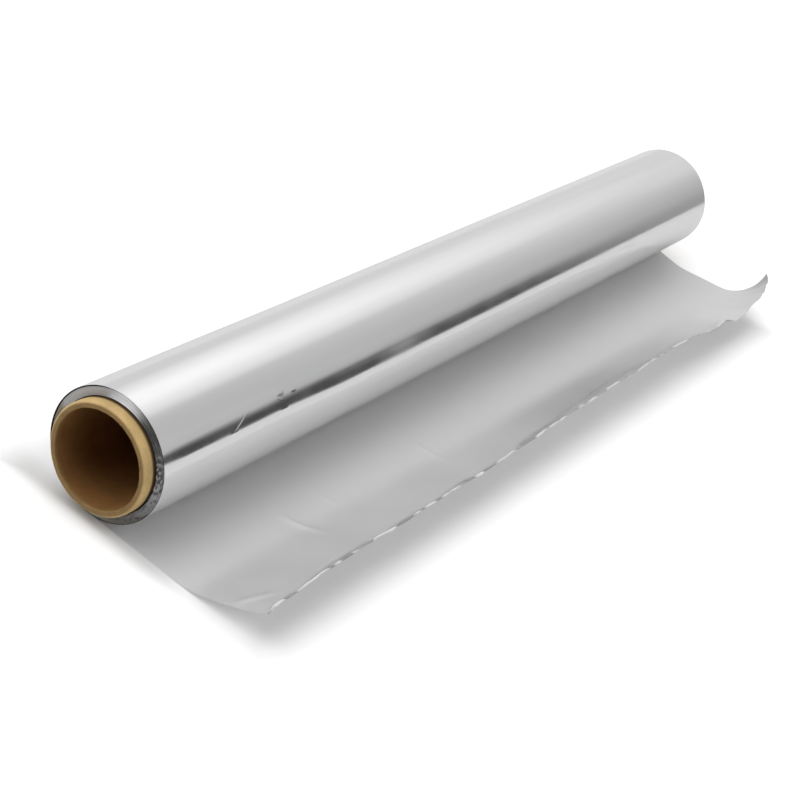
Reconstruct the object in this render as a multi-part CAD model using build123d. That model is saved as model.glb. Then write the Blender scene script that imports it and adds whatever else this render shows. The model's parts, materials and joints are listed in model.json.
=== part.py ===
from build123d import *
from math import cos, pi, radians, sqrt
import os

# A roll of kitchen foil on its paperboard core, lying on the start of its own unrolled sheet.
# X runs along the core, with the open end that is seen best at -X. The sheet runs towards -Y.
# The origin is the middle of the core's bore. Sizes are in millimetres, angles in degrees.

# Paperboard core
core_bore = 24.7
core_wall = 1.75
core_proud = 3.65
core_outer_lip = 0.8
core_inner_lip = 0.3

# Wound foil
foil_width = 300.0
core_clearance = 0.12
winding_depth = 2.63
foil_gauge = 0.25
turns_per_edge = 2
edge_step = 0.2
edge_inset = 0.12
rest_flat = 2.4

# Free sheet, its lengths measured along the foil from where it leaves the roll
free_length = 54.0
near_flat = 30.6
far_flat = 33.4
bend_length = 1.8
bend_angle = 16.0
near_tip_angle = 35.0
tip_angle_gain = 17.0
corner_tip_gain = 38.0
corner_sharpness = 26
edge_wander = 0.7
edge_waves = 2.25
section_count = 14

# Sizes that follow
core_bore_radius = core_bore / 2
core_radius = core_bore_radius + core_wall
core_length = foil_width + 2 * core_proud
winding_bore_radius = core_radius + core_clearance
roll_radius = winding_bore_radius + winding_depth
floor_level = -sqrt(roll_radius**2 - (rest_flat / 2) ** 2)
edge_pitch = turns_per_edge * foil_gauge
edge_radius = roll_radius - edge_inset
edge_half_turns = int(2 * (winding_depth - edge_inset - foil_gauge) / edge_pitch)
strip_length = min(near_flat, far_flat) / 2


def make_core():
    """Paperboard tube, proud of the foil at both ends, its rims rounded by handling."""
    wall = Pos(0, (core_bore_radius + core_radius) / 2) * Rectangle(core_length, core_wall)
    corners = wall.vertices().sort_by(Axis.Y)
    wall = fillet(corners[-2:], core_outer_lip)
    corners = wall.vertices().sort_by(Axis.Y)
    wall = fillet(corners[:2], core_inner_lip)
    return revolve(wall, Axis.X)


def winding(outer_radius, pitch, half_turns):
    """Half circles of a spiral, from its outer end under the roll, up the back, over and inwards."""
    arcs = []
    for half_turn in range(half_turns):
        radius = outer_radius - half_turn * pitch / 2
        if half_turn % 2 == 0:
            arcs.append(CenterArc((0, 0), radius, -90, 180))
        else:
            arcs.append(CenterArc((0, pitch / 2), radius, 90, 180))
    return arcs


def make_turns():
    """The wound turns: a spiral outline, one layer thicker where the sheet's own turn begins."""
    outline = winding(roll_radius, foil_gauge, half_turns=2)
    outline.append(Line(outline[-1] @ 1, outline[0] @ 0))
    profile = make_face(outline) - Circle(winding_bore_radius)
    length = foil_width - 2 * edge_step
    return extrude(Plane.YZ.offset(-length / 2) * profile, length)


def make_turn_edges(side):
    """Turns that stand out of the roll's end face as one spiral edge. Side is -1 or 1."""
    outside = winding(edge_radius, edge_pitch, edge_half_turns)
    inside = winding(edge_radius - foil_gauge, edge_pitch, edge_half_turns)
    ends = [Line(outside[0] @ 0, inside[0] @ 0), Line(outside[-1] @ 1, inside[-1] @ 1)]
    profile = make_face(outside + inside + ends)
    root = foil_width / 2 - 2 * edge_step
    return extrude(Plane.YZ.offset(side * root) * profile, side * 2 * edge_step)


def make_flat_strip():
    """The sheet from where it leaves the roll until it clears the roll's front, flat on the table."""
    middle = (0, -strip_length / 2, floor_level + foil_gauge / 2)
    return Pos(middle) * Box(foil_width, strip_length, foil_gauge)


def sheet_section(share):
    """Cross-section of the curling sheet at a share of the foil's width from the open end."""
    flat = near_flat + (far_flat - near_flat) * share
    tip_angle = near_tip_angle + tip_angle_gain * share + corner_tip_gain * share**corner_sharpness
    length = free_length - edge_wander * (1 - cos(2 * pi * edge_waves * share)) / 2
    bend_radius = bend_length / radians(bend_angle)
    curl_radius = (length - flat - bend_length) / radians(tip_angle - bend_angle)
    faces = []
    for height in (0, foil_gauge):
        level = floor_level + height
        run = Line((strip_length, level), (flat, level))
        bend = JernArc(run @ 1, run % 1, bend_radius - height, bend_angle)
        curl = JernArc(bend @ 1, bend % 1, curl_radius - height, tip_angle - bend_angle)
        faces.append([run, bend, curl])
    under, upper = faces
    ends = [Line(under[0] @ 0, upper[0] @ 0), Line(under[-1] @ 1, upper[-1] @ 1)]
    origin = ((share - 0.5) * foil_width, 0, 0)
    return Plane(origin, x_dir=(0, -1, 0), z_dir=(-1, 0, 0)) * make_face(under + upper + ends)


def make_foil():
    """Wound turns and free sheet, which are one length of foil."""
    roll = make_turns() + [make_turn_edges(side) for side in (-1, 1)]
    below = Pos(0, 0, floor_level - roll_radius) * Box(2 * foil_width, 2 * roll_radius, 2 * roll_radius)
    spacing = [1 - (1 - step / section_count) ** 2 for step in range(section_count + 1)]
    curl = loft([sheet_section(share) for share in spacing], ruled=True)
    return roll - below + make_flat_strip() + curl


os.makedirs("parts", exist_ok=True)
for name, shape in (("core_tube", make_core()), ("foil", make_foil())):
    export_step(shape, f"parts/{name}.step")
    print(name, "volume", round(shape.volume), "mm3, solids", len(shape.solids()))
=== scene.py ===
import json
import math

import bpy
import numpy as np
from mathutils import Matrix, Vector


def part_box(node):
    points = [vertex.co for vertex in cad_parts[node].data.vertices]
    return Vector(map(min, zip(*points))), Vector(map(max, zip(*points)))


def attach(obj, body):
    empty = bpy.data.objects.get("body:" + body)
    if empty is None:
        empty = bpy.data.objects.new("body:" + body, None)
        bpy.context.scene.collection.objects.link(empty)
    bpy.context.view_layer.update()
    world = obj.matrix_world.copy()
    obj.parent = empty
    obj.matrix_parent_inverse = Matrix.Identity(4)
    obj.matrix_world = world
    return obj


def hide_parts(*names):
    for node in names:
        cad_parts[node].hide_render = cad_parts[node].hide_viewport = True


# A roll of kitchen foil on its paperboard core, lying on the start of its own unrolled sheet.
# X runs along the core, with the end that shows best at -X. The sheet runs towards -Y, +Z is up.

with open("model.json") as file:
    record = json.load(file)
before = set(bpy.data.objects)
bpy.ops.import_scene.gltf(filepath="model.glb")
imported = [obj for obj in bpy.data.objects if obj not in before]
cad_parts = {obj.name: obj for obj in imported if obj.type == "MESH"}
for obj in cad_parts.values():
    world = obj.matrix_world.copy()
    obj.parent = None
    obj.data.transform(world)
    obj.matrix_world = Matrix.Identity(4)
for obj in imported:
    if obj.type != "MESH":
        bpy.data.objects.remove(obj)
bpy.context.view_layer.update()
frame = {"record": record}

MM = 0.001

# Sizes read from the solids
foil_low, foil_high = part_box("foil")
core_low, core_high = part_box("core_tube")
HALF_WIDTH = foil_high.x
ROLL_RADIUS = foil_high.z
FLOOR = foil_low.z
CORE_HALF = core_high.x
CORE_RADIUS = core_high.z
BORE_RADIUS = frame["record"]["mounts"][0]["dims"]["r_mm"] * MM

# Wound turns
CORE_CLEARANCE = 0.12 * MM
WINDING_BORE = CORE_RADIUS + CORE_CLEARANCE
TURN_PITCH = 0.16 * MM
TURN_SAMPLES = 2
TURN_SEGMENTS = 480

# End faces of the roll
END_RECESS = 0.5 * MM
RIM_GAP = 0.07 * MM
CORE_GROOVE = 0.2 * MM
GROOVE_DEPTH = 2.5 * MM

# Free sheet, its lengths measured along the foil from where it leaves the roll
SHEET_GAUGE = 0.05 * MM
SHEET_LENGTH = 54.0 * MM
SHEET_START = 1.5 * MM
NEAR_FLAT = 30.6 * MM
FAR_FLAT = 33.4 * MM
BEND_LENGTH = 1.8 * MM
BEND_ANGLE = 16.0
SHEET_COLUMNS = 420

# Slope of the curl at the torn edge, in degrees, at shares of the width from the near end
TIP_SLOPES = ((0, 32), (0.02, 34), (0.08, 38), (0.17, 39), (0.36, 41), (0.52, 49), (0.74, 53),
              (0.79, 48), (0.83, 43), (0.86, 44), (0.893, 31), (0.912, 32), (0.935, 44), (0.955, 46),
              (0.975, 53), (0.99, 66), (1.0, 87))


def smooth(share):
    """Eases a share from 0 to 1."""
    share = np.clip(share, 0, 1)
    return share * share * (3 - 2 * share)


def bell(place, middle, spread):
    """Rises from 0 to 1 at its middle and falls again."""
    return np.exp(-(((place - middle) / spread) ** 2))


def wander(place, seed, longest, shortest, count, falloff):
    """Smooth random waves along a line, mostly between -1 and 1."""
    draw = np.random.default_rng(seed)
    lengths = np.geomspace(longest, shortest, count)
    total = np.zeros_like(place)
    for length in lengths:
        height = (length / longest) ** falloff
        total = total + height * np.sin(2 * np.pi * (place / length + draw.random()))
    return total / np.sqrt(np.sum((lengths / longest) ** (2 * falloff)))


def ripple(across, along, seed, longest, shortest, count, falloff, stretch=1.0):
    """Smooth random waves over a surface, longer along it by the stretch."""
    draw = np.random.default_rng(seed)
    lengths = np.geomspace(longest, shortest, count)
    total = np.zeros(np.broadcast(across, along).shape)
    for length in lengths:
        heading = draw.random() * np.pi
        phase = draw.random()
        turned = across * math.cos(heading) + along / stretch * math.sin(heading)
        total = total + (length / longest) ** falloff * np.sin(2 * np.pi * (turned / length + phase))
    return total / np.sqrt(np.sum((lengths / longest) ** (2 * falloff)))


def crease(across, along, start, end, width):
    """Height of a straight crease between two points of a surface, 1 at its middle."""
    start, end = np.array(start), np.array(end)
    run = end - start
    length = np.hypot(*run)
    run = run / length
    share = ((across - start[0]) * run[0] + (along - start[1]) * run[1]) / length
    off = (across - start[0]) * run[1] - (along - start[1]) * run[0]
    taper = np.clip(4 * share * (1 - share), 0, 1)
    return taper * bell(off, 0, width)


def grid_faces(rows, columns, closed=False, flip=False):
    """Quads of a grid whose points are numbered row by row. A closed grid joins its ends."""
    row = np.arange(rows - 1)[:, None]
    column = np.arange(columns if closed else columns - 1)[None, :]
    following = (column + 1) % columns
    corners = [row * columns + column, row * columns + following]
    corners += [(row + 1) * columns + following, (row + 1) * columns + column]
    faces = np.stack([c.ravel() for c in corners], axis=1)
    return faces[:, ::-1] if flip else faces


def make_piece(name, points, faces, materials, face_materials=None, smooth_angle=None):
    """A mesh piece in the part's own frame, riding on its one body."""
    mesh = bpy.data.meshes.new(name)
    mesh.from_pydata(np.asarray(points).tolist(), [], np.asarray(faces).tolist())
    for material in materials:
        mesh.materials.append(material)
    if face_materials is not None:
        mesh.polygons.foreach_set("material_index", face_materials)
    mesh.validate()
    mesh.shade_smooth()
    if smooth_angle is not None:
        mesh.set_sharp_from_angle(angle=math.radians(smooth_angle))
    piece = bpy.data.objects.new(name, mesh)
    bpy.context.scene.collection.objects.link(piece)
    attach(piece, "root")
    return piece


# Name of the share that each point of a crushed piece carries
CRUSHED = "crushed"


def mark_crushed(piece, shares):
    """Share from 0 to 1 on each point of a piece that its material reads as crushed foil: glossier on the
    sheet, painted pit shade on the turns' edges.
    """
    attribute = piece.data.attributes.new(CRUSHED, "FLOAT", "POINT")
    attribute.data.foreach_set("value", shares.ravel().astype(np.float32))


def link_value(tree, socket, value):
    """Gives a socket a number or another node's output."""
    if isinstance(value, bpy.types.NodeSocket):
        tree.links.new(value, socket)
    else:
        socket.default_value = value


def calc(tree, operation, *values):
    """Result of a calculation with numbers or other nodes' outputs."""
    node = tree.nodes.new("ShaderNodeMath")
    node.operation = operation
    for socket, value in zip(node.inputs, values):
        link_value(tree, socket, value)
    return node.outputs[0]


def calc_vector(tree, operation, *values):
    """Result of a calculation with vectors. Products and distances of two vectors are numbers."""
    node = tree.nodes.new("ShaderNodeVectorMath")
    node.operation = operation
    for socket, value in zip(node.inputs, values):
        link_value(tree, socket, value)
    return node.outputs["Value" if operation in ("DOT_PRODUCT", "DISTANCE") else "Vector"]


def remap(tree, value, start, end, low=0.0, high=1.0, eased=True):
    """Carries a value from the range start to end over to low to high, eased at both ends."""
    node = tree.nodes.new("ShaderNodeMapRange")
    node.interpolation_type = "SMOOTHSTEP" if eased else "LINEAR"
    for socket, given in zip(node.inputs, (value, start, end, low, high)):
        link_value(tree, socket, given)
    return node.outputs[0]


def noise(tree, place, scale, detail, roughness=0.55):
    """Cloudy pattern between 0 and 1."""
    node = tree.nodes.new("ShaderNodeTexNoise")
    link_value(tree, node.inputs["Vector"], place)
    node.inputs["Scale"].default_value = scale
    node.inputs["Detail"].default_value = detail
    node.inputs["Roughness"].default_value = roughness
    return node.outputs["Fac"]


def bump(tree, height, distance, strength=1.0):
    """Normal that a height map tilts."""
    node = tree.nodes.new("ShaderNodeBump")
    node.inputs["Strength"].default_value = strength
    node.inputs["Distance"].default_value = distance
    link_value(tree, node.inputs["Height"], height)
    return node.outputs[0]


def new_material(name, metallic, roughness, colour, **sockets):
    """A material with one shader, its even settings written on the shader's own sockets."""
    material = bpy.data.materials.new(name)
    material.use_nodes = True
    tree = material.node_tree
    shader = tree.nodes["Principled BSDF"]
    shader.inputs["Base Color"].default_value = (*colour, 1.0)
    shader.inputs["Metallic"].default_value = metallic
    shader.inputs["Roughness"].default_value = roughness
    for socket, value in sockets.items():
        shader.inputs[socket.replace("_", " ")].default_value = value
    return material, tree, shader


def object_place(tree, stretch=(1, 1, 1)):
    """Place on the object, scaled on each axis."""
    coordinates = tree.nodes.new("ShaderNodeTexCoord")
    return calc_vector(tree, "MULTIPLY", coordinates.outputs["Object"], stretch)


def crushed_share(tree):
    """Share that mark_crushed gave to each point."""
    node = tree.nodes.new("ShaderNodeAttribute")
    node.attribute_name = CRUSHED
    return node.outputs["Fac"]


def grain_direction(tree, radial=False):
    """Direction that the gloss is drawn out in: along the roll, or away from its axis on the ends."""
    if radial:
        return object_place(tree, (0, 1, 1))
    turn = tree.nodes.new("ShaderNodeVectorTransform")
    turn.vector_type = "VECTOR"
    turn.convert_from = "OBJECT"
    turn.convert_to = "WORLD"
    turn.inputs[0].default_value = (1, 0, 0)
    return turn.outputs[0]


def blend(tree, share, first, second):
    """Colour between two others, each given as a colour or another node's output."""
    node = tree.nodes.new("ShaderNodeMix")
    node.data_type = "RGBA"
    link_value(tree, node.inputs["Factor"], share)
    link_value(tree, node.inputs["A"], first)
    link_value(tree, node.inputs["B"], second)
    return node.outputs["Result"]


# Colours: the foil's two sides, the wound turns' edges, and the board from outside to bore, with painted shade
# in the turns' pits, between the turns and where the board goes into the roll
SHINY = (0.9, 0.9, 0.905)
MATTE = (0.73, 0.73, 0.735)
# Grey of the turns' edges, darker partly as painted shade of the fine grooves between the turns
TURN_EDGES = (0.5, 0.5, 0.505)
# Painted shade in the crushed pits of the turns' edges
PAINTED_PIT_SHADE = (0.14, 0.137, 0.132)
# Painted shade for the depths between the turns and the groove round the core
PAINTED_GAP_SHADE = (0.1, 0.08, 0.06)
OUTER_PLY = (0.66, 0.46, 0.2)
CUT_PLIES = (0.31, 0.19, 0.068)
INNER_PLY = (0.28, 0.135, 0.042)
# Painted shade on the tube's outside where it goes into the roll
SEAM_SHADE = (0.09, 0.05, 0.02)

# Roughness of the foil: shiny side, matte side, matte side where crushed, and what the smudge adds
SHINY_ROUGHNESS = (0.10, 0.14)
MATTE_ROUGHNESS = (0.56, 0.62)
CRUSHED_ROUGHNESS = 0.23
SMUDGE_ROUGHNESS = 0.1

# Smudge on the roll: its place, its reach round the roll, and its steepness along the roll
SMUDGE_ALONG = -48 * MM
SMUDGE_ANGLE = math.radians(29.5)
SMUDGE_REACH = 4.0 * MM
SMUDGE_STEEPNESS = 0.2

# Scale that draws a pattern out along the foil's length, as the mill's fine lines are
MILL_LINES = (1, 0.02, 0.02)


def make_shiny_foil():
    """Outer side of the foil: a near mirror that fine mill lines draw out along the roll, with a smudge."""
    material, tree, shader = new_material("foil_shiny", 1.0, 0.2, SHINY, Anisotropic=0.6)
    mill_lines = noise(tree, object_place(tree, MILL_LINES), 2600, 3)
    cloud = noise(tree, object_place(tree, (1, 1.6, 1.6)), 90, 3)
    smudge_place = (SMUDGE_ALONG * SMUDGE_STEEPNESS, -ROLL_RADIUS * math.cos(SMUDGE_ANGLE),
                    ROLL_RADIUS * math.sin(SMUDGE_ANGLE))
    off_smudge = calc_vector(tree, "DISTANCE", object_place(tree, (SMUDGE_STEEPNESS, 1, 1)), smudge_place)
    smudge = remap(tree, off_smudge, 0.0, SMUDGE_REACH, SMUDGE_ROUGHNESS, 0.0)
    roughness = calc(tree, "ADD", remap(tree, cloud, 0.3, 0.7, *SHINY_ROUGHNESS), smudge)
    tree.links.new(roughness, shader.inputs["Roughness"])
    tree.links.new(bump(tree, mill_lines, 0.0004 * MM), shader.inputs["Normal"])
    tree.links.new(grain_direction(tree), shader.inputs["Tangent"])
    return material


def make_matte_foil():
    """Inner side of the foil: satin, with mill lines along the sheet, glossier where it is crushed."""
    material, tree, shader = new_material("foil_matte", 0.82, 0.6, MATTE, Anisotropic=0.2)
    mill_lines = noise(tree, object_place(tree, MILL_LINES), 1500, 4)
    cloud = noise(tree, object_place(tree), 60, 4)
    plain = remap(tree, cloud, 0.3, 0.7, *MATTE_ROUGHNESS)
    roughness = remap(tree, crushed_share(tree), 0.0, 1.0, plain, CRUSHED_ROUGHNESS)
    tree.links.new(roughness, shader.inputs["Roughness"])
    tree.links.new(bump(tree, mill_lines, 0.001 * MM), shader.inputs["Normal"])
    tree.links.new(grain_direction(tree), shader.inputs["Tangent"])
    return material


def make_turn_edge_foil():
    """Cut edges of the wound turns: duller, darker partly as painted shade of the fine grooves between them,
    drawn out away from the axis, with painted shade where crushed into pits.
    """
    material, tree, shader = new_material("foil_turn_edges", 1.0, 0.32, TURN_EDGES, Anisotropic=0.5)
    # Painted shade where the edges are crushed into pits, and over the denser stretch low in front
    colour = blend(tree, crushed_share(tree), (*TURN_EDGES, 1), (*PAINTED_PIT_SHADE, 1))
    tree.links.new(colour, shader.inputs["Base Color"])
    tree.links.new(grain_direction(tree, radial=True), shader.inputs["Tangent"])
    return material


def make_painted_gap_shade():
    """Painted shade for the depths between the wound turns, where little light comes out, uneven from turn to
    turn.
    """
    material, tree, shader = new_material("foil_painted_gap_shade", 0.0, 0.8, PAINTED_GAP_SHADE, Specular_IOR_Level=0.1)
    uneven = noise(tree, object_place(tree), 1200, 3)
    tree.links.new(blend(tree, uneven, (0, 0, 0, 1), (*PAINTED_GAP_SHADE, 1)), shader.inputs["Base Color"])
    return material


def make_board():
    """Paperboard: a pale outer ply, darker where the plies are cut across, and a brown inner ply, with painted
    shade on its outside where it goes into the roll.
    """
    material, tree, shader = new_material("core_board", 0.0, 0.6, CUT_PLIES, Specular_IOR_Level=0.35)
    fibre = noise(tree, object_place(tree, (1, 2.2, 2.2)), 1500, 6, 0.65)
    mottle = noise(tree, object_place(tree), 260, 4)
    parts = tree.nodes.new("ShaderNodeSeparateXYZ")
    tree.links.new(object_place(tree), parts.inputs[0])
    along, across, up = parts.outputs
    along = calc(tree, "ABSOLUTE", along)
    squares = [calc(tree, "MULTIPLY", part, part) for part in (across, up)]
    radius = calc(tree, "SQRT", calc(tree, "ADD", *squares))
    outside = remap(tree, radius, CORE_RADIUS - 0.75 * MM, CORE_RADIUS - 0.25 * MM)
    bore = remap(tree, radius, BORE_RADIUS + 0.1 * MM, BORE_RADIUS + 0.3 * MM, 1.0, 0.0)
    inside = remap(tree, along, CORE_HALF - 1.5 * MM, CORE_HALF - 0.2 * MM, 1.0, 0.0)
    # Painted shade on the outside close to the roll's ends
    seam = remap(tree, along, HALF_WIDTH + 0.3 * MM, HALF_WIDTH + 1.2 * MM, 1.0, 0.0)
    colour = blend(tree, outside, (*CUT_PLIES, 1), (*OUTER_PLY, 1))
    colour = blend(tree, calc(tree, "MULTIPLY", bore, inside), colour, (*INNER_PLY, 1))
    colour = blend(tree, calc(tree, "MULTIPLY", outside, seam), colour, (*SEAM_SHADE, 1))
    mixed = calc(tree, "MULTIPLY", calc(tree, "ADD", fibre, mottle), 0.5)
    mottled = calc_vector(tree, "SCALE", colour)
    tree.links.new(remap(tree, mixed, 0.34, 0.64, 0.84, 1.06), mottled.node.inputs["Scale"])
    tree.links.new(mottled, shader.inputs["Base Color"])
    tree.links.new(bump(tree, fibre, 0.05 * MM, 0.5), shader.inputs["Normal"])
    return material


# Columns of the roll's surface: its creased stretches as (start, end, columns) in mm from the near end,
# the number of plain columns, and the places of those close to each end
CREASED_STRETCHES = ((24.8, 33.4, 130), (33.6, 39.5, 26), (43.5, 53.0, 80))
PLAIN_COLUMNS = 110
EDGE_COLUMNS = (0.05, 0.15, 0.4)

# Rows of the roll's surface: its creased angles as (start, end, rows), and the number of plain rows
CREASED_ANGLES = (13, 42, 126)
PLAIN_ROWS = 160


def roll_columns():
    """Places along the roll, closest together at the ends and where the foil is creased."""
    marked = [np.linspace(*stretch) * MM - HALF_WIDTH for stretch in CREASED_STRETCHES]
    plain = np.linspace(-HALF_WIDTH, HALF_WIDTH, PLAIN_COLUMNS)
    for places in marked:
        plain = plain[(plain < places[0]) | (plain > places[-1])]
    edge = np.array(EDGE_COLUMNS) * MM
    return np.unique(np.round(np.concatenate([plain, *marked, edge - HALF_WIDTH, HALF_WIDTH - edge]), 7))


def roll_angles():
    """Angles round the roll from its front, closest together where the foil is creased."""
    plain = np.linspace(0, 360, PLAIN_ROWS, endpoint=False)
    marked = np.linspace(*CREASED_ANGLES)
    plain = plain[(plain < marked[0]) | (plain > marked[-1])]
    return np.radians(np.sort(np.concatenate([plain, marked])))


# Creases of the roll's surface: start and end as (mm from the near end, degrees from the front), then
# depth and width in mm
ROLL_CREASES = (((33.0, 38.4), (25.6, 25.4), -0.018, 0.1), ((25.0, 26.4), (28.4, 25.2), -0.04, 0.5),
                ((38.6, 16.2), (32.6, 14.0), 0.012, 0.25), ((43.8, 41.4), (47.6, 40.2), -0.06, 0.6),
                ((45.6, 26.4), (49.0, 24.8), -0.045, 0.55), ((50.0, 38.6), (52.6, 37.4), -0.035, 0.35),
                ((44.4, 37.8), (46.6, 33.4), -0.02, 0.12))

# Outermost turn: how far it lies inside the roll's radius, and its rim inside that
OUTER_TURN_INSET = 0.04 * MM
RIM_INSET = 0.02 * MM

# Its depths and heights: two where it is pressed in, then waves along the roll, along the foil, and both ways
FRONT_FLATTENING = 0.31 * MM
NEAR_END_DENT = 0.05 * MM
SWAY_HEIGHT = 0.012 * MM
STREAK_HEIGHT = 0.009 * MM
WAVE_HEIGHT = 0.006 * MM


def front_flattening(along, degrees):
    """Depth by which the roll is flatter low in front, and by the shallow dent there at its near end."""
    away = smooth((along + HALF_WIDTH - 40 * MM) / (36 * MM))
    flat = FRONT_FLATTENING * away * (smooth((degrees - 13) / 20.5) - smooth((degrees - 34) / 200))
    flat = flat * (1 - 0.3 * smooth((along + 2 * MM) / (38 * MM)))
    dent = smooth((along + HALF_WIDTH) / (6 * MM)) * (1 - away)
    return flat + NEAR_END_DENT * dent * bell(degrees, 33, 8)


def surface_radius(along, around):
    """Radius of the outermost turn: a little flat low in front, streaked along the roll, creased."""
    arc = around * ROLL_RADIUS
    closed = smooth(np.minimum(around, 2 * np.pi - around) / 0.3)
    sway = wander(along, 3, 0.21, 0.012, 7, 1.3) * SWAY_HEIGHT
    streaks = ripple(arc, along, 7, 0.011, 0.003, 12, 1.2, 14.0) * STREAK_HEIGHT * closed
    waves = ripple(along, arc, 8, 0.06, 0.010, 12, 1.5, 2.0) * WAVE_HEIGHT * closed
    radius = ROLL_RADIUS - OUTER_TURN_INSET - front_flattening(along, np.degrees(around))
    radius = radius + sway + streaks + waves
    for (x0, a0), (x1, a1), depth, width in ROLL_CREASES:
        ends = [(x * MM - HALF_WIDTH, math.radians(a) * ROLL_RADIUS) for x, a in ((x0, a0), (x1, a1))]
        radius = radius - depth * MM * crease(along, arc, *ends, width * MM)
    return radius


def rim_radius(side, angles):
    """Radius just inside the outermost turn at one end."""
    return surface_radius(np.full_like(angles, side * HALF_WIDTH), angles % (2 * np.pi)) - RIM_INSET


def end_rings(side, angles):
    """Plain faces behind the turns' edges, from the rim down into the groove round the core."""
    rim = rim_radius(side, angles)
    inner = np.full_like(angles, WINDING_BORE + CORE_GROOVE)
    steps = [(0, rim), (END_RECESS, rim), (END_RECESS, inner), (GROOVE_DEPTH, inner),
             (GROOVE_DEPTH, np.full_like(angles, WINDING_BORE))]
    rings = [np.stack([np.full_like(angles, side * (HALF_WIDTH - depth)), -radius * np.cos(angles),
                       radius * np.sin(angles)], axis=-1) for depth, radius in steps]
    return np.array(rings[::-1] if side < 0 else rings)


# Rows of faces in each end's rings
END_ROWS = 4


def make_roll(outer, gap_shade):
    """Body of the wound roll: its outermost turn, and painted shade on what shows between the turns at the
    ends.
    """
    angles = roll_angles()
    along, around = np.meshgrid(roll_columns(), angles, indexing="ij")
    radius = surface_radius(along, around)
    surface = np.stack([along, -radius * np.cos(around), radius * np.sin(around)], axis=-1)
    grid = np.concatenate([end_rings(-1, angles), surface, end_rings(1, angles)])
    points = grid.reshape(-1, 3)
    points[:, 2] = np.maximum(points[:, 2], FLOOR + SHEET_GAUGE)
    rows, count = grid.shape[:2]
    first = np.arange(count)
    following = (first + 1) % count
    last = (rows - 1) * count
    closing = np.stack([first, last + first, last + following, following], axis=1)
    faces = np.concatenate([grid_faces(rows, count, closed=True), closing])
    # Faces of the end rings take the painted gap shade
    row = np.minimum(np.arange(len(faces)) // count, rows)
    at_end = (row >= rows) | (row < END_ROWS) | ((row >= rows - 1 - END_ROWS) & (row < rows))
    piece = make_piece("foil_roll", points, faces, [outer, gap_shade], at_end.astype(int), smooth_angle=40)
    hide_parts("foil")


# Turns' edges on the end faces: their depth under the rim, what crushing and rounding add to it, and how
# much single turns and stretches of a turn differ
EDGE_DEPTH = 0.07 * MM
PIT_DEPTH = 0.14 * MM
EDGE_ROUNDING = 0.08 * MM
TURN_DIFFERENCE = 0.04 * MM
STRETCH_DIFFERENCE = 0.02 * MM

# How far the turns lie inside the rim at the top and back
BACK_SLACK = 0.2 * MM


def turn_edge_pits_and_shade(degrees, radius, seed):
    """Shares from 0 to 1 by which the turns' edges are crushed into pits and carry painted shade, all of it
    low in front.
    """
    angle = np.radians(degrees)[:, None]
    zone = smooth((degrees + 64) / 16) * smooth((46 - degrees) / 28)
    pits = ripple(radius * np.cos(angle), radius * np.sin(angle), seed, 0.0022, 0.0006, 12, 0.25)
    # Denser pits low in front: deeper there, and more painted shade that darkens that stretch
    dense = 0.72 * smooth((degrees + 8) / 20)
    return smooth(-0.08 + 0.65 * pits + dense[:, None]) * zone[:, None]


def turn_edge_depth(turned, degrees, inset, pits, seed):
    """Depth of the turns' edges: uneven, deeper where crushed and at their sides, blunt at the top."""
    level = wander(turned, seed, 3.1, 0.9, 5, 0.3) * TURN_DIFFERENCE
    level = level + wander(turned % 1.0, seed + 4, 0.31, 0.07, 5, 0.4) * STRETCH_DIFFERENCE
    rounded = 1 - 0.68 * smooth((degrees - 102) / 14) * smooth((178 - degrees) / 20)
    rounded = rounded * (1 + 0.2 * wander(turned, seed + 8, 1.7, 0.09, 7, 0.2))
    depth = (EDGE_DEPTH - level)[:, None] + PIT_DEPTH * pits
    depth = depth + rounded[:, None] * EDGE_ROUNDING * np.abs(2 * inset - 1)
    return np.clip(depth, 0, END_RECESS)


def make_turn_edges(side, material):
    """Edges of the wound turns on one end face, as one strip that winds from the rim to the core."""
    seed = 21 if side < 0 else 22
    inner = WINDING_BORE + CORE_GROOVE
    turns = int((ROLL_RADIUS - OUTER_TURN_INSET - RIM_INSET - RIM_GAP - inner) / TURN_PITCH)
    count = turns * TURN_SEGMENTS + 1
    turned = np.arange(count) / TURN_SEGMENTS
    inset = np.arange(TURN_SAMPLES + 1) / TURN_SAMPLES
    degrees = (360 * turned) % 360 - 90
    angle = np.radians(degrees)[:, None]
    slack = BACK_SLACK * smooth((degrees - 95) / 25) * smooth((215 - degrees) / 25)
    outer = rim_radius(side, np.radians(degrees)) - RIM_GAP - slack
    inwards = (turned[:, None] + inset[None, :]) / turns
    radius = outer[:, None] * (1 - inwards) + inner * inwards
    pits = turn_edge_pits_and_shade(degrees, radius, seed)
    reach = side * (HALF_WIDTH - turn_edge_depth(turned, degrees, inset, pits, seed))
    grid = np.stack([reach, -radius * np.cos(angle), radius * np.sin(angle)], axis=-1)
    points = grid.reshape(-1, 3)
    points[:, 2] = np.maximum(points[:, 2], FLOOR + SHEET_GAUGE)
    faces = grid_faces(count, TURN_SAMPLES + 1, flip=side < 0)
    name = "foil_edges_near" if side < 0 else "foil_edges_far"
    piece = make_piece(name, points, faces, [material], smooth_angle=40)
    mark_crushed(piece, pits)
    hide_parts("foil")


# Creases of the free sheet, in mm: start and end as (from the near end, from the roll), then height
SHEET_CREASES = (((43.2, 25.0), (46.8, 40.5), 0.2), ((105.6, 26.0), (104.6, 42.0), 0.18),
                 ((60.0, 27.0), (61.6, 32.4), 0.12), ((0.5, 43.2), (11.5, 49.2), 0.3),
                 ((150.0, 24.0), (154.0, 33.0), 0.08))
SHEET_CREASE_WIDTH = 1.0 * MM

# Bend between flat and curl: how far it is softened each way, and how much more at the middle of the width
BEND_SOFTENING = 3.5 * MM
MIDDLE_SOFTENING = 3 * MM

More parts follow.
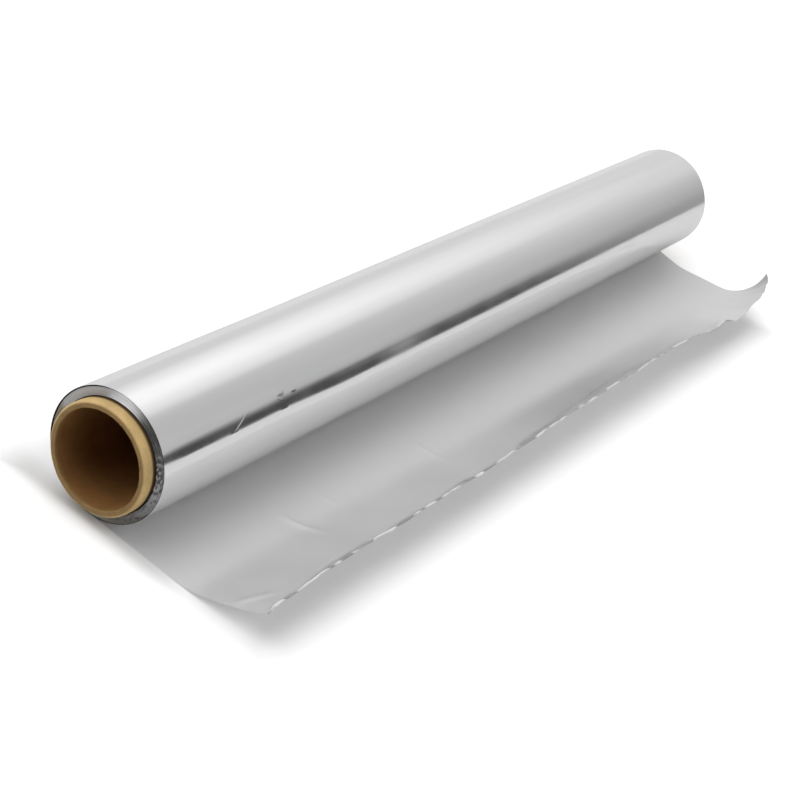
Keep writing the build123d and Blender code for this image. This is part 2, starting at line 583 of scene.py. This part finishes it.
# Low waves of the sheet where it is free, and the far side edge's bow inwards
SHEET_LIFT = 0.05 * MM
SIDE_BOW = 3.8 * MM

# Torn edge: how ragged it is, the near corner's point, and the lip that is turned out in places
RAGGED_DEPTH = 0.22 * MM
NEAR_CORNER_POINT = 0.6 * MM
LIP_WIDTH = 0.72 * MM
LIP_WIDTH_CHANGE = 0.15 * MM
LIP_SLOPE = 10
LIP_SLOPE_CHANGE = 9
LIP_TURN = 32
LIP_ROWS = (1.8, 1.5, 1.25, 1.05, 0.9, 0.78, 0.68, 0.59, 0.5, 0.42, 0.34, 0.26, 0.18, 0.09, 0)

# Crushed strip beside the torn edge, widest past the middle
CRUSHED_WIDTH = 3.0 * MM
CRUSHED_WIDTH_CHANGE = 1.3 * MM
CRUSHED_MIDDLE_WIDTH = 13 * MM


def sheet_rows():
    """Shares of the sheet's length, closest together at the bend and at the torn edge."""
    reach = SHEET_START + SHEET_LENGTH
    under = np.linspace(0, SHEET_START + NEAR_FLAT - 2 * MM, 26)
    bend = np.linspace(SHEET_START + NEAR_FLAT - 1 * MM, SHEET_START + FAR_FLAT + 3 * MM, 14)
    curl = np.linspace(bend[-1] + 1 * MM, reach - 2.2 * MM, 16)
    lip = reach - np.array(LIP_ROWS) * MM
    return np.concatenate([under, bend, curl, lip]) / reach


def torn_length(wide):
    """Length of the free sheet at places along its width, with its ragged edge and pointed near corner."""
    ragged = wander(wide, 31, 0.06, 0.004, 12, 0.8) * RAGGED_DEPTH
    return SHEET_LENGTH + ragged + NEAR_CORNER_POINT * bell(wide, 0, 3 * MM)


def tip_slope(place):
    """Slope of the curl at the torn edge in degrees, eased between those given, sharpest at the far corner."""
    knots, slopes = np.array(TIP_SLOPES).T
    index = np.clip(np.searchsorted(knots, place, side="right") - 1, 0, len(knots) - 2)
    part = (place - knots[index]) / (knots[index + 1] - knots[index])
    eased = np.where(index == len(knots) - 2, part ** 2.2, smooth(part))
    return slopes[index] + (slopes[index + 1] - slopes[index]) * eased


def sheet_slope(place, run, flat, length):
    """Slope of the sheet in degrees: flat, then a soft bend, then a curl up to the torn edge."""
    bend_half = BEND_LENGTH / 2 + BEND_SOFTENING + MIDDLE_SOFTENING * bell(place, 0.5, 0.25)
    bend_share = smooth((run - flat - BEND_LENGTH / 2 + bend_half) / (2 * bend_half))
    curl_share = np.clip((run - flat - BEND_LENGTH) / (length - flat - BEND_LENGTH), 0, 1)
    return BEND_ANGLE * bend_share + (tip_slope(place) - BEND_ANGLE) * curl_share


def turn_out_lip(slope, place, wide, from_edge):
    """Slope in degrees with the lip turned out in places, and by what share each point is rolled over."""
    lip_width = LIP_WIDTH + LIP_WIDTH_CHANGE * wander(wide, 41, 0.03, 0.006, 6, 0.4)
    lip_slope = LIP_SLOPE + LIP_SLOPE_CHANGE * wander(wide, 44, 0.02, 0.004, 6, 0.3)
    turned_out = smooth(0.55 + 1.1 * wander(wide, 43, 0.03, 0.006, 6, 0.3))
    turned_out = turned_out * (1 - smooth((place - 0.86) / 0.08))
    slope = slope + LIP_TURN * smooth((1.6 * MM - from_edge) / (0.5 * MM)) * turned_out
    rolled = smooth((lip_width - from_edge) / (0.2 * MM)) * turned_out
    return slope + (lip_slope - slope) * rolled, rolled


def sheet_underside(place, wide, distance, slope):
    """Points of the sheet's lower side, from its slope, low waves, creases and bowed far side edge."""
    step = np.diff(distance, axis=0)
    middle = (slope[1:] + slope[:-1]) / 2
    start = np.full((1, SHEET_COLUMNS), SHEET_START)
    forward = np.concatenate([start, SHEET_START - np.cumsum(np.cos(middle) * step, axis=0)])
    height = np.concatenate([0 * start, np.cumsum(np.sin(middle) * step, axis=0)])
    run = distance - SHEET_START
    lift = ripple(wide[None, :], run, 51, 0.09, 0.012, 14, 1.3) * SHEET_LIFT + SHEET_LIFT
    height = height + np.maximum(lift, 0) * smooth((run - 14 * MM) / (16 * MM))
    for (x0, y0), (x1, y1), ridge in SHEET_CREASES:
        ends = [(x0 * MM, y0 * MM), (x1 * MM, y1 * MM)]
        height = height + ridge * MM * crease(wide[None, :], run, *ends, SHEET_CREASE_WIDTH)
    bow = SIDE_BOW * smooth((run - 1 * MM) / (20 * MM)) * smooth((35 * MM - run) / (18 * MM))
    across = wide - HALF_WIDTH - bow * smooth((place - 0.93) / 0.07)
    return np.stack([across, forward, FLOOR + height], axis=-1)


def closed_sheet(upper, lower):
    """Points and faces of the solid between two grids, and 1 for each face that isn't on the upper one."""
    rows, columns = upper.shape[:2]
    count = rows * columns
    top_faces = grid_faces(rows, columns)
    under_faces = grid_faces(rows, columns, flip=True) + count
    border = np.concatenate([np.arange(columns), (np.arange(1, rows) * columns) + columns - 1,
                             (rows - 1) * columns + np.arange(columns - 2, -1, -1),
                             np.arange(rows - 2, 0, -1) * columns])
    following = np.roll(border, -1)
    rim = np.stack([border, border + count, following + count, following], axis=1)
    points = np.concatenate([upper.reshape(-1, 3), lower.reshape(-1, 3)])
    sides = np.concatenate([np.zeros(len(top_faces), int), np.ones(len(under_faces) + len(rim), int)])
    return points, np.concatenate([top_faces, under_faces, rim]), sides


def sheet_crushed(place, wide, run, flat, from_edge):
    """Shares from 0 to 1 by which the sheet is crushed and glossy: beside its torn edge, less on its curl."""
    width = CRUSHED_WIDTH + CRUSHED_WIDTH_CHANGE * wander(wide, 45, 0.05, 0.008, 6, 0.5)
    width = width + CRUSHED_MIDDLE_WIDTH * bell(place, 0.6, 0.13)
    crushed = smooth(1.15 - 1.15 * from_edge / width)
    curl_gloss = 0.28 + 0.3 * bell(place, 0.58, 0.14) + 0.12 * (1 - smooth(place / 0.2))
    crushed = np.maximum(crushed, curl_gloss * smooth((run - flat + 5 * MM) / (14 * MM)))
    return crushed * (1 - smooth((place - 0.8) / 0.08))


def make_sheet(inner, outer):
    """Free sheet: flat on the table, then curling up to its torn edge, most at the far corner."""
    place = np.linspace(0, 1, SHEET_COLUMNS)
    wide = place * 2 * HALF_WIDTH
    flat = NEAR_FLAT + (FAR_FLAT - NEAR_FLAT) * place
    length = torn_length(wide)
    distance = sheet_rows()[:, None] * (length + SHEET_START)[None, :]
    run = distance - SHEET_START
    from_edge = length - run
    slope, rolled = turn_out_lip(sheet_slope(place, run, flat, length), place, wide, from_edge)
    slope = np.radians(slope)
    lower = sheet_underside(place, wide, distance, slope)
    upward = np.stack([np.zeros_like(slope), np.sin(slope), np.cos(slope)], axis=-1)
    points, faces, sides = closed_sheet(lower + upward * SHEET_GAUGE, lower)
    piece = make_piece("foil_sheet", points, faces, [inner, outer], sides, smooth_angle=50)
    crushed = sheet_crushed(place, wide, run, flat, from_edge) * (1 - rolled)
    mark_crushed(piece, np.stack([crushed, crushed]))
    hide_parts("foil")


# Outline of the tube's wall at one end, in mm, as setbacks from the end and heights over the bore: the
# outside's setbacks, the rounded lip's length and height, the cut face's heights, then the inner edge and bore
OUTSIDE_SETBACKS = (6, 3, 1.6)
OUTER_LIP = (0.95, 0.85)
CUT_FACE_HEIGHTS = (0.75, 0.6, 0.48, 0.4, 0.34, 0.28, 0.22, 0.16)
INNER_EDGE = ((0.06, 0.08), (0.2, 0.02), (0.5, 0), (1.2, 0), (3, 0), (8, 0), (30, 0))

# Wear of the tube's rims: the open line between two plies, the frayed inner edge, and the worn ends
PLY_LINE_HEIGHT = 0.34 * MM
PLY_LINE_WIDTH = 0.09 * MM
PLY_LINE_DEPTH = 0.3 * MM
FRAY_HEIGHT = 0.04 * MM
RIM_WEAR = 0.04 * MM
RIM_WEAR_CHANGE = 0.03 * MM


def core_profile():
    """Outline of the tube's wall as (x, r), from one end's outside through the bore to the other's."""
    outer, bore = CORE_RADIUS / MM, BORE_RADIUS / MM
    turns = np.linspace(0, math.pi / 2, 9)
    half = [(setback, outer) for setback in OUTSIDE_SETBACKS]
    half += [(OUTER_LIP[0] * (1 - math.sin(t)), outer - OUTER_LIP[1] * (1 - math.cos(t))) for t in turns]
    half += [(0.0, bore + height) for height in CUT_FACE_HEIGHTS]
    half += [(setback, bore + height) for setback, height in INNER_EDGE]
    half = [(CORE_HALF - setback * MM, radius * MM) for setback, radius in half]
    return np.array(half + [(-x, radius) for x, radius in half[::-1]])


def make_core(material):
    """Paperboard tube with a rounded outer lip, an open ply line and a fibrous inner edge at each end."""
    angles = np.linspace(0, 2 * np.pi, 400, endpoint=False)
    profile = core_profile()
    along, around = np.meshgrid(profile[:, 0], angles, indexing="ij")
    radius = np.broadcast_to(profile[:, 1:], along.shape)
    arc = around * CORE_RADIUS
    rim = smooth((np.abs(along) - CORE_HALF + 1.3 * MM) / (1.2 * MM))
    inner = np.clip(1 - (radius - BORE_RADIUS) / (0.5 * MM), 0, 1)
    fray = ripple(arc, along * 3, 61, 0.006, 0.0008, 12, 0.4) * FRAY_HEIGHT
    pits = smooth(0.2 + 0.9 * ripple(arc, radius, 63, 0.004, 0.0009, 8, 0.2))
    pits = pits * (0.4 + 0.6 * smooth(0.5 + 0.7 * np.cos(around - math.radians(25))))
    ply_line = bell(radius, BORE_RADIUS + PLY_LINE_HEIGHT, PLY_LINE_WIDTH) * PLY_LINE_DEPTH * pits
    wear = RIM_WEAR + RIM_WEAR_CHANGE * ripple(arc, radius * 2, 62, 0.014, 0.001, 12, 0.6)
    along = along - np.sign(along) * rim * (ply_line + wear)
    radius = np.minimum(radius + rim * inner * fray, CORE_RADIUS)
    grid = np.stack([along, -radius * np.cos(around), radius * np.sin(around)], axis=-1)
    rows, count = grid.shape[:2]
    column = np.arange(count)
    following = (column + 1) % count
    last = (rows - 1) * count
    closing = np.stack([column, following, last + following, last + column], axis=1)
    faces = np.concatenate([grid_faces(rows, count, closed=True, flip=True), closing])
    piece = make_piece("core_board_tube", grid.reshape(-1, 3), faces, [material])
    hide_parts("core_tube")


# Table: its radius, its drop under the sheet, and its colour
FLOOR_RADIUS = 40.0
FLOOR_DROP = 0.01 * MM
FLOOR_ALBEDO = 0.71

# Glow that brings the table to white for the camera: away from the object, close to it, close to the sheet's
# near edge, and close to the roll's near end. Its lower levels close to the object paint shade that deepens
# the object's shadow.
FLOOR_WHITE = 0.44
FLOOR_NEAR_WHITE = 0.16
SHEET_EDGE_WHITE = 0.27
ROLL_END_WHITE = 0.03

# Distance over which that glow grows, and how many times faster it grows off the near end
WHITE_REACH = 14 * MM
NEAR_END_RATE = 2.2

# Glow that reflections see, a painted brightening of the table behind the roll, and where it starts and is
# full, from under the roll to behind it
FLOOR_GLOW = 0.03
GLOW_START = -0.03
GLOW_FULL = 0.1


def distance_out(tree, side, front):
    """Distance on the table from the foil's box, for the glow. At the far end it starts under the sheet."""
    middle, reach = (foil_low.y + foil_high.y) / 2, (foil_high.y - foil_low.y) / 2
    near = calc(tree, "MULTIPLY_ADD", side, -NEAR_END_RATE, -NEAR_END_RATE * (HALF_WIDTH + 1 * MM))
    far = calc(tree, "SUBTRACT", side, HALF_WIDTH)
    out_side = calc(tree, "MAXIMUM", calc(tree, "MAXIMUM", far, near), 0.0)
    out_front = calc(tree, "ABSOLUTE", calc(tree, "SUBTRACT", front, middle))
    out_front = calc(tree, "MAXIMUM", calc(tree, "SUBTRACT", out_front, reach), 0.0)
    far_end = remap(tree, side, HALF_WIDTH - 16 * MM, HALF_WIDTH, 0.0, WHITE_REACH)
    return calc(tree, "MAXIMUM", calc(tree, "MAXIMUM", out_side, out_front), far_end)


def make_floor():
    """White table that fills the view and keeps the object's shadow, with painted shade where its glow is
    weaker close to the object.
    """
    angles = np.linspace(0, 2 * np.pi, 97)[:-1]
    corners = [FLOOR_RADIUS * Vector((math.cos(a), math.sin(a), 0)) for a in angles]
    mesh = bpy.data.meshes.new("floor")
    mesh.from_pydata([c + Vector((0, 0, FLOOR - FLOOR_DROP)) for c in corners], [], [range(len(corners))])
    material, tree, shader = new_material("table_white", 0.0, 1.0, [FLOOR_ALBEDO] * 3,
                                          Specular_IOR_Level=0.0, Emission_Color=(1, 1, 1, 1))
    path = tree.nodes.new("ShaderNodeLightPath")
    parts = tree.nodes.new("ShaderNodeSeparateXYZ")
    tree.links.new(object_place(tree), parts.inputs[0])
    side, front = parts.outputs["X"], parts.outputs["Y"]
    # Less glow close to the object: painted shade that deepens its shadow on the table, most off the roll's
    # near end
    shade_glow = remap(tree, front, -2.0 * ROLL_RADIUS, -1.2 * ROLL_RADIUS, SHEET_EDGE_WHITE, ROLL_END_WHITE)
    shade_glow = remap(tree, side, -HALF_WIDTH - 1 * MM, -HALF_WIDTH + 8 * MM, shade_glow, FLOOR_NEAR_WHITE)
    white = remap(tree, distance_out(tree, side, front), 0.0, WHITE_REACH, shade_glow, FLOOR_WHITE)
    white = calc(tree, "MULTIPLY", path.outputs["Is Camera Ray"], white)
    reflected = calc(tree, "MAXIMUM", path.outputs["Is Glossy Ray"], path.outputs["Is Transmission Ray"])
    behind = remap(tree, front, GLOW_START, GLOW_FULL, 0.0, FLOOR_GLOW)
    glow = calc(tree, "MULTIPLY_ADD", reflected, behind, white)
    tree.links.new(glow, shader.inputs["Emission Strength"])
    mesh.materials.append(material)
    floor = bpy.data.objects.new("floor", mesh)
    bpy.context.scene.collection.objects.link(floor)


def heading(azimuth, elevation):
    """Unit vector of a direction. Azimuth 0 is -Y and 90 is +X."""
    a, e = math.radians(azimuth), math.radians(elevation)
    return Vector((math.sin(a) * math.cos(e), -math.cos(a) * math.cos(e), math.sin(e)))


# Brightness of the studio's walls: behind, behind on the near side, in front, and in front on the near side
BACK_LIGHT = 0.7
NEAR_BACK_LIGHT = 1.05
FRONT_LIGHT = 0.51
NEAR_FRONT_LIGHT = 0.052

# Brightness of the dark gap low down, at the side and in front
SIDE_GAP_LIGHT = 0.335
FRONT_GAP_LIGHT = 0.06

# Brightness of the ceiling, and of two bright patches round their middles: overhead, and up in front
CEILING_LIGHT = 0.36
OVERHEAD_LIGHT = 2.5
OVERHEAD_MIDDLE = Vector((-0.2, 0.38, 0.9)).normalized()
FILL_LIGHT = 1.4
FILL_MIDDLE = heading(7, 31)

# Borders between those lights, each as (start, end) in parts of the unit vector to the far side, backwards,
# forwards or up, and for the patches as the cosine of the angle from their middle
FRONT_BORDER = (0.25, 0.55)
BACK_BORDER = (-0.45, 0.0)
FRONT_TO_BACK_BORDER = (-0.38, 0.08)
GAP_SIDE_BORDER = (-0.05, 0.38)
GAP_FRONT_BORDER = (0.455, 0.535)
CEILING_BORDER = (0.7, 0.86)
CEILING_SIDE_BORDER = (-0.25, 0.15)
FILL_BORDER = (0.81, 0.92)
OVERHEAD_BORDER = (0.8, 0.97)


def room_light(tree, far_side, backward):
    """Light of the studio's walls."""
    front = remap(tree, far_side, *FRONT_BORDER, NEAR_FRONT_LIGHT, FRONT_LIGHT)
    back = remap(tree, far_side, *BACK_BORDER, NEAR_BACK_LIGHT, BACK_LIGHT)
    behind = calc(tree, "MULTIPLY_ADD", calc(tree, "MINIMUM", far_side, 0.0), 0.3, backward)
    return remap(tree, behind, *FRONT_TO_BACK_BORDER, front, back)


def with_gap(tree, room, backward, height):
    """The walls' light with a dark gap low down in front, which shows as the roll's dark band."""
    frontal = calc(tree, "MULTIPLY", backward, -1.0)
    gap = remap(tree, frontal, *GAP_SIDE_BORDER, BACK_LIGHT, SIDE_GAP_LIGHT)
    gap = remap(tree, frontal, *GAP_FRONT_BORDER, gap, FRONT_GAP_LIGHT)
    gap = calc(tree, "MINIMUM", gap, room)
    rise = remap(tree, frontal, 0.63, 0.69, 0.0, 0.035)
    lowest = calc(tree, "ADD", remap(tree, frontal, 0.47, 0.58, 0.0, 0.085), rise)
    highest = calc(tree, "ADD", remap(tree, frontal, 0.45, 0.58, 0.42, 0.22), rise)
    return remap(tree, height, lowest, highest, gap, room)


def make_studio():
    """Soft studio, bright behind and overhead. Where the camera sees past the table, it sees plain white."""
    world = bpy.data.worlds.new("studio")
    bpy.context.scene.world = world
    world.use_nodes = True
    tree = world.node_tree
    background = tree.nodes["Background"]
    direction = tree.nodes.new("ShaderNodeTexCoord").outputs["Generated"]
    parts = tree.nodes.new("ShaderNodeSeparateXYZ")
    tree.links.new(direction, parts.inputs[0])
    far_side, backward, height = parts.outputs
    light = with_gap(tree, room_light(tree, far_side, backward), backward, height)
    above = remap(tree, height, *CEILING_BORDER)
    ceiling = calc(tree, "MULTIPLY", above, remap(tree, far_side, *CEILING_SIDE_BORDER))
    light = remap(tree, ceiling, 0.0, 1.0, light, CEILING_LIGHT, eased=False)
    fill = calc_vector(tree, "DOT_PRODUCT", direction, FILL_MIDDLE)
    light = remap(tree, fill, *FILL_BORDER, light, FILL_LIGHT)
    overhead = calc_vector(tree, "DOT_PRODUCT", direction, OVERHEAD_MIDDLE)
    light = remap(tree, overhead, *OVERHEAD_BORDER, light, OVERHEAD_LIGHT)
    cloud = remap(tree, noise(tree, direction, 4.0, 3), 0.25, 0.75, 0.94, 1.06, eased=False)
    seen = tree.nodes.new("ShaderNodeLightPath").outputs["Is Camera Ray"]
    strength = remap(tree, seen, 0.0, 1.0, calc(tree, "MULTIPLY", light, cloud), 1.0, eased=False)
    tree.links.new(strength, background.inputs["Strength"])
    background.inputs["Color"].default_value = (1, 1, 1, 1)


# Round softbox of nested disks, so that its reflection fades at the rim: its direction and distance from
# the near end of the roll, the disks' sizes and spacing, and the radiance of each
SOFTBOX_TOWARD = heading(115, 40)
SOFTBOX_DISTANCE = 0.8
SOFTBOX_SIZES = (0.2, 0.32, 0.44, 0.56, 0.68, 0.8)
SOFTBOX_SPACING = 0.01
SOFTBOX_RADIANCE = 0.059


def make_softbox():
    """Softbox that lights the near end of the roll."""
    for number, size in enumerate(SOFTBOX_SIZES):
        data = bpy.data.lights.new(f"softbox_{number}", "AREA")
        data.shape = "DISK"
        data.size = size
        data.energy = SOFTBOX_RADIANCE * math.pi * math.pi * (size / 2) ** 2
        lamp = bpy.data.objects.new(data.name, data)
        bpy.context.scene.collection.objects.link(lamp)
        distance = SOFTBOX_DISTANCE + SOFTBOX_SPACING * number
        lamp.location = Vector((-HALF_WIDTH, 0, 0)) + SOFTBOX_TOWARD * distance
        lamp.rotation_mode = "QUATERNION"
        lamp.rotation_quaternion = SOFTBOX_TOWARD.to_track_quat("Z", "Y")


# Camera, placed round a point under the roll: angles in degrees, and 800 pixels to the frame's side
CAMERA_AZIMUTH = 68.531
CAMERA_ELEVATION = 30.479
CAMERA_ROLL = 24.321
CAMERA_DISTANCE = 35.328 * ROLL_RADIUS
CAMERA_TARGET = Vector((0.1696, 0, -2.2713)) * ROLL_RADIUS
FOCAL_PIXELS = 1982.85
FRAME_PIXELS = 800


def make_camera():
    """Camera at the photograph's viewing angle."""
    data = bpy.data.cameras.new("camera")
    data.sensor_width = 36.0
    data.lens = data.sensor_width * FOCAL_PIXELS / FRAME_PIXELS
    data.clip_start = 0.05
    data.clip_end = 60.0
    camera = bpy.data.objects.new("camera", data)
    bpy.context.scene.collection.objects.link(camera)
    azimuth, elevation = math.radians(CAMERA_AZIMUTH), math.radians(CAMERA_ELEVATION)
    forward = Vector((math.sin(azimuth) * math.cos(elevation), math.cos(azimuth) * math.cos(elevation),
                      -math.sin(elevation)))
    right = forward.cross(Vector((0, 0, 1))).normalized()
    up = right.cross(forward)
    roll = math.radians(CAMERA_ROLL)
    across = math.cos(roll) * right + math.sin(roll) * up
    upward = -math.sin(roll) * right + math.cos(roll) * up
    turn = Matrix((across, upward, -forward)).transposed()
    camera.matrix_world = Matrix.Translation(CAMERA_TARGET - forward * CAMERA_DISTANCE) @ turn.to_4x4()
    bpy.context.scene.camera = camera


shiny_foil = make_shiny_foil()
matte_foil = make_matte_foil()
edge_foil = make_turn_edge_foil()
make_roll(shiny_foil, make_painted_gap_shade())
for end in (-1, 1):
    make_turn_edges(end, edge_foil)
make_sheet(matte_foil, shiny_foil)
make_core(make_board())
make_floor()
make_studio()
make_softbox()
make_camera()
bpy.context.scene.view_settings.view_transform = "Standard"
